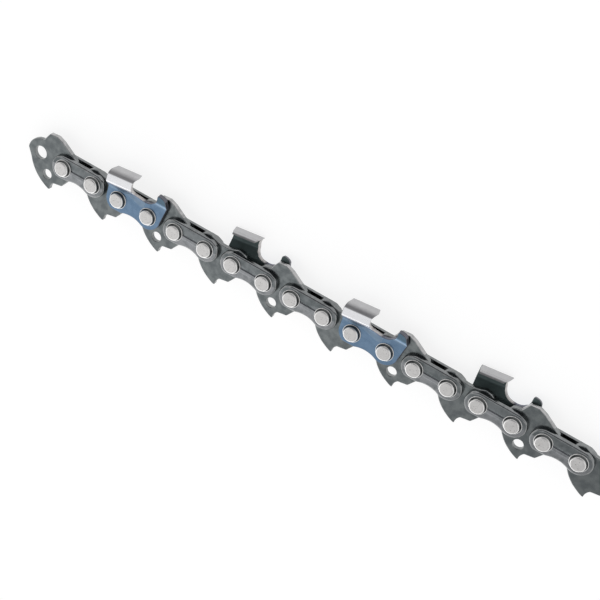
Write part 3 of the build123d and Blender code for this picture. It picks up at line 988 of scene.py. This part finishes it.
def cutter_surface(c, s):
    """A near cutter: the unfolded sheet between its outlines, carried onto the folded faces, with its filed
    front drawn back to the file's path."""
    raw = cutter_outline(c, s)
    near_path, far_path, filed = raw[:, :2], raw[:, 2:4], np.clip(raw[:, 4], 0.0, 1.0)
    step, up, turn, top = fold_lengths(c)
    bends = np.concatenate(
        (
            np.array((-2.6, -1.8, -1.1)),
            np.linspace(-BEND_MARGIN, BEND_MARGIN, 7),
            step + np.linspace(-BEND_MARGIN, BEND_MARGIN, 7),
            step + up * np.array((0.5, 0.75)),
            step + up + turn * np.linspace(0, 1, 9),
            step + up + turn + top * np.array((0.2, 0.4, 0.6, 0.8)),
        )
    )

    def on_sheet(points):
        """Heights above the rivets turned into rises up the sheet."""
        return xy(points[:, 0], points[:, 1] - cutter_measures(c, points[:, 0])[2])

    behind = np.meshgrid(np.arange(c.heel, c.gullet_x - 0.2, CUTTER_GRID), bends)
    about_bend = c.gauge_bend + np.linspace(-1.2, 3.0, 15)
    ahead = np.meshgrid(np.arange(c.gullet_x + 2.0, c.gauge_front, GAUGE_GRID), about_bend)
    behind, ahead = (np.stack(grid, axis=-1).reshape(-1, 2) for grid in (behind, ahead))
    inside = np.vstack((behind, on_sheet(ahead)))
    height = inside[:, 1] + cutter_measures(c, inside[:, 0])[2]
    apart = np.min([np.hypot(inside[:, 0] - x, height) for x in RIVETS_X], axis=0)
    inside = inside[apart > s.hole + CUTTER_CLEAR]
    sharp = np.maximum(filed, near_path[:, 1] > sum(fold_lengths(c)) - FREE_EDGE)
    loops = [(near_path, far_path, 1.0 - FILED_AWAY * sharp)]
    for x in RIVETS_X:
        hole = on_sheet(circle(x, 0.0, s.hole))
        loops.append((hole, hole, RIM_ROUNDING))

    def trim(placed, path):
        """Draws the points of the wall behind the gullet back to where the file has been."""
        limit = front_limit(c, placed[..., 1], placed[..., 2])
        behind = (path[..., 0] < c.gullet_x) & (path[..., 1] > TRIM_FROM)
        placed[..., 0] = np.where(behind, np.minimum(placed[..., 0], limit), placed[..., 0])
        return placed

    edge = pressed_edge(PLATE_OUTER - PLATE_INNER, c.rolled, c.burr)
    surface = pressed_sheet(
        loops,
        edge,
        cutter_face(c, False),
        cutter_face(c, True),
        keep_inside(inside, near_path, 3 * c.rolled),
        keep_inside(inside, far_path, 3 * c.rolled),
        trim,
    )
    rows = len(edge[0])
    filed_rows = np.zeros(len(surface[0]))
    filed_rows[: rows * len(filed)] = np.tile(filed, rows) * surface[2][: rows * len(filed), 2]
    return surface, filed_rows


def sheet_marks(marks, **more):
    """What the finishes of pressed sheets read: shares of edge and wall, the way along and across, and more."""
    way = np.column_stack((marks[:, 3], marks[:, 0], 0 * marks[:, 0]))
    return {"edge": marks[:, 1], "wall": marks[:, 2], "edgeway": way} | more


def dress(word, points, faces, material, slot, marks, place=middle_of):
    """Lets a surface stand for every node whose name holds a word, mirrored on the far side. It stands at the
    node's place along the chain, on the line of the rivets."""
    for name in (name for name in frame["nodes"] if word in name):
        sided = mirrored(points, faces) if name.startswith("far") else (points, faces)
        put(name, *sided, (place(name)[0], *REAR_RIVET[1:]), material, slot, marks)


class SAWCHAIN_OT_rivets(bpy.types.Operator):
    """Turns a bright peened rivet for every pivot"""

    bl_idname = "sawchain.rivets"
    bl_label = "Rivets"

    def execute(self, context):
        points, faces, marks = rivet_surface(sizes(context, "saw_chain_rivets"))
        dress("_rivet_", points, faces, rivet_steel(context.scene.saw_chain_finish), "rivet_steel", marks)
        return {"FINISHED"}


class SAWCHAIN_OT_drive_links(bpy.types.Operator):
    """Presses the drive links, plain and ramped, with their tangs and oil holes"""

    bl_idname = "sawchain.drive_links"
    bl_label = "Drive links"

    def execute(self, context):
        d = sizes(context, "saw_chain_drive_links")
        tints = context.scene.saw_chain_finish
        finish = oiled_steel("oiled_link_steel", tints.link, tints.link_dark, tints.ground, tints.bare)
        for kind in ("plain", "ramp"):
            points, flat, marks, faces = drive_link_surface(d, kind == "ramp")
            shared = sheet_marks(marks, rub=marks[:, 2] * (flat[:, 1] > d.boss + 0.2))
            dress(kind + "_drive_link_", points, faces, finish, "drive_link_steel", shared)
        return {"FINISHED"}


class SAWCHAIN_OT_straps(bpy.types.Operator):
    """Presses the tie straps of both sides, with their grooves"""

    bl_idname = "sawchain.straps"
    bl_label = "Tie straps"

    def execute(self, context):
        tints = context.scene.saw_chain_finish
        finish = oiled_steel("oiled_strap_steel", tints.strap, tints.strap_dark, tints.rubbed, tints.bare)
        s = sizes(context, "saw_chain_straps")
        points, flat, marks, faces = strap_surface(s)
        below = np.clip((s.groove_height - flat[:, 1]) / s.groove_width, 0.0, 1.0)
        shared = sheet_marks(marks, rub=below * (1 - marks[:, 2]) * (marks[:, 0] < 1))
        dress("_strap_", points, faces, finish, "strap_steel", shared)
        return {"FINISHED"}


class SAWCHAIN_OT_cutters(bpy.types.Operator):
    """Folds the cutters of both sides, blued, plated and filed"""

    bl_idname = "sawchain.cutters"
    bl_label = "Cutters"

    def execute(self, context):
        c = sizes(context, "saw_chain_cutters")
        (points, flat, marks, faces), filed = cutter_surface(c, sizes(context, "saw_chain_straps"))
        x, rise = flat.T
        behind = x < c.gullet_x
        step, up, turn = fold_lengths(c)[:3]
        border = c.plate_rise * np.clip((c.plate_tip - x) / c.plate_taper, 0.0, 1.0)
        shared = sheet_marks(
            marks,
            rise=np.where(behind, rise - border, ELSEWHERE),
            over=np.where(behind, np.clip((rise - step - up) / turn, 0.0, 1.0), 0.0),
            depth=marks[:, 0],
            lean=np.where(behind, ELSEWHERE, rise + cutter_measures(c, x)[2] - c.gauge_bend),
            ahead=np.clip(x - c.heel - 1.0, 0.0, 1.0),
            filed=filed,
        )

        def between_rivets(name):
            return (middle_of("rear_rivet_" + name[-2:]) + middle_of("front_rivet_" + name[-2:])) / 2

        finish = cutter_steel(context.scene.saw_chain_finish)
        dress("_cutter_", points, faces, finish, "cutter_steel", shared, between_rivets)
        return {"FINISHED"}


class SAWCHAIN_OT_stage(bpy.types.Operator):
    """Sets the pale floor, the soft light and the camera"""

    bl_idname = "sawchain.stage"
    bl_label = "Stage"

    def execute(self, context):
        settings = context.scene.saw_chain_stage
        self.lay_floor(context, settings)
        self.light(context, settings)
        camera = bpy.data.objects.new("camera", bpy.data.cameras.new("camera"))
        camera.data.lens = settings.lens
        camera.data.sensor_width = settings.sensor
        camera.data.clip_start = settings.nearest
        camera.location = settings.camera_place
        camera.rotation_euler = settings.camera_turn
        context.scene.collection.objects.link(camera)
        context.scene.camera = camera
        context.scene.view_settings.view_transform = "Standard"
        return {"FINISHED"}

    def lay_floor(self, context, settings):
        """A wide pale floor: matt, and brighter by itself to the camera and in reflections."""
        across = np.linspace(-0.5, 0.5, FLOOR_POINTS) * settings.floor_width
        points = np.stack(np.meshgrid(across, across, -settings.floor_gap), axis=-1).reshape(-1, 3)
        index = np.arange(FLOOR_POINTS**2).reshape(FLOOR_POINTS, FLOOR_POINTS)
        quads = np.stack((index[:-1, :-1], index[:-1, 1:], index[1:, 1:], index[1:, :-1]), axis=-1).reshape(-1, 4)
        mesh = bpy.data.meshes.new("floor")
        mesh.from_pydata(points.tolist(), [], quads.tolist())
        made = bpy.data.materials.new("pale_floor")
        made.use_nodes = True
        made.node_tree.nodes.clear()
        n = Nodes(made.node_tree)
        tone = n.ramp(n.noise(n.add("ShaderNodeTexCoord").outputs["Object"], 6.0, 3.0), 0.3, 0.7, 0.97, 1.0)
        inputs = {0: settings.floor[:], "Scale": tone}
        shade = n.add("ShaderNodeVectorMath", inputs, operation="SCALE").outputs[0]
        matt = n.add("ShaderNodeBsdfDiffuse", {"Color": shade}).outputs[0]
        ray = n.add("ShaderNodeLightPath").outputs
        seen = n.math("MAXIMUM", ray["Is Camera Ray"], ray["Is Glossy Ray"])
        seen = n.math("MAXIMUM", seen, ray["Is Transmission Ray"])
        glow = n.add("ShaderNodeEmission", {"Strength": n.times(seen, settings.floor_glow)}).outputs[0]
        both = n.add("ShaderNodeAddShader", {0: matt, 1: glow}).outputs[0]
        n.add("ShaderNodeOutputMaterial", {"Surface": both})
        mesh.materials.append(made)
        floor = bpy.data.objects.new("floor", mesh)
        context.scene.collection.objects.link(floor)

    def light(self, context, settings):
        """A white room that is dim above and behind the camera and dusky ahead on the right, and one large soft
        light from the front left."""
        world = bpy.data.worlds.new("studio")
        context.scene.world = world
        world.use_nodes = True
        n = Nodes(world.node_tree)
        way = n.add("ShaderNodeTexCoord").outputs["Generated"]
        up = n.add("ShaderNodeSeparateXYZ", {0: way}).outputs["Z"]
        behind = n.times(n.ramp(n.towards(way, settings.dim_way), 0.70, 0.93), n.ramp(up, 0.06, 0.34))
        ahead = n.ramp(n.towards(way, settings.dusk_way), 0.92, 0.995)
        room = n.over((1.0, 1.0, 1.0), (behind, settings.dim), (ahead, settings.dusk))
        n.tree.links.new(room, n.tree.nodes["Background"].inputs["Color"])
        lamp = bpy.data.lights.new("key", "AREA")
        lamp.energy = settings.key
        lamp.shape = "RECTANGLE"
        lamp.size, lamp.size_y = settings.key_size
        key = bpy.data.objects.new("key", lamp)
        key.location = settings.key_place
        key.rotation_euler = settings.key_turn
        context.scene.collection.objects.link(key)


class SAWCHAIN_PT_panel(bpy.types.Panel):
    """Lists the steps that dress the chain, with their settings"""

    bl_idname = "SAWCHAIN_PT_panel"
    bl_label = "Saw chain"
    bl_space_type = "VIEW_3D"
    bl_region_type = "UI"
    bl_category = "Saw chain"

    def draw(self, context):
        for operator in STEPS:
            self.layout.operator(operator.bl_idname)
        for group, kind in GROUPS.items():
            box = self.layout.box()
            box.label(text=kind.__doc__)
            for key in kind.__annotations__:
                box.prop(getattr(context.scene, group), key)


STEPS = (
    SAWCHAIN_OT_stage,
    SAWCHAIN_OT_rivets,
    SAWCHAIN_OT_drive_links,
    SAWCHAIN_OT_straps,
    SAWCHAIN_OT_cutters,
)


def register():
    """Adds the settings, the steps and the panel."""
    for kind in (*GROUPS.values(), *STEPS, SAWCHAIN_PT_panel):
        bpy.utils.register_class(kind)
    for group, kind in GROUPS.items():
        setattr(bpy.types.Scene, group, PointerProperty(type=kind))


def unregister():
    """Takes them away again."""
    for group in GROUPS:
        delattr(bpy.types.Scene, group)
    for kind in (SAWCHAIN_PT_panel, *reversed(STEPS), *GROUPS.values()):
        bpy.utils.unregister_class(kind)


def main():
    """Registers everything and dresses the chain."""
    register()
    bpy.ops.sawchain.stage()
    bpy.ops.sawchain.rivets()
    bpy.ops.sawchain.drive_links()
    bpy.ops.sawchain.straps()
    bpy.ops.sawchain.cutters()


if __name__ == "__main__":
    main()
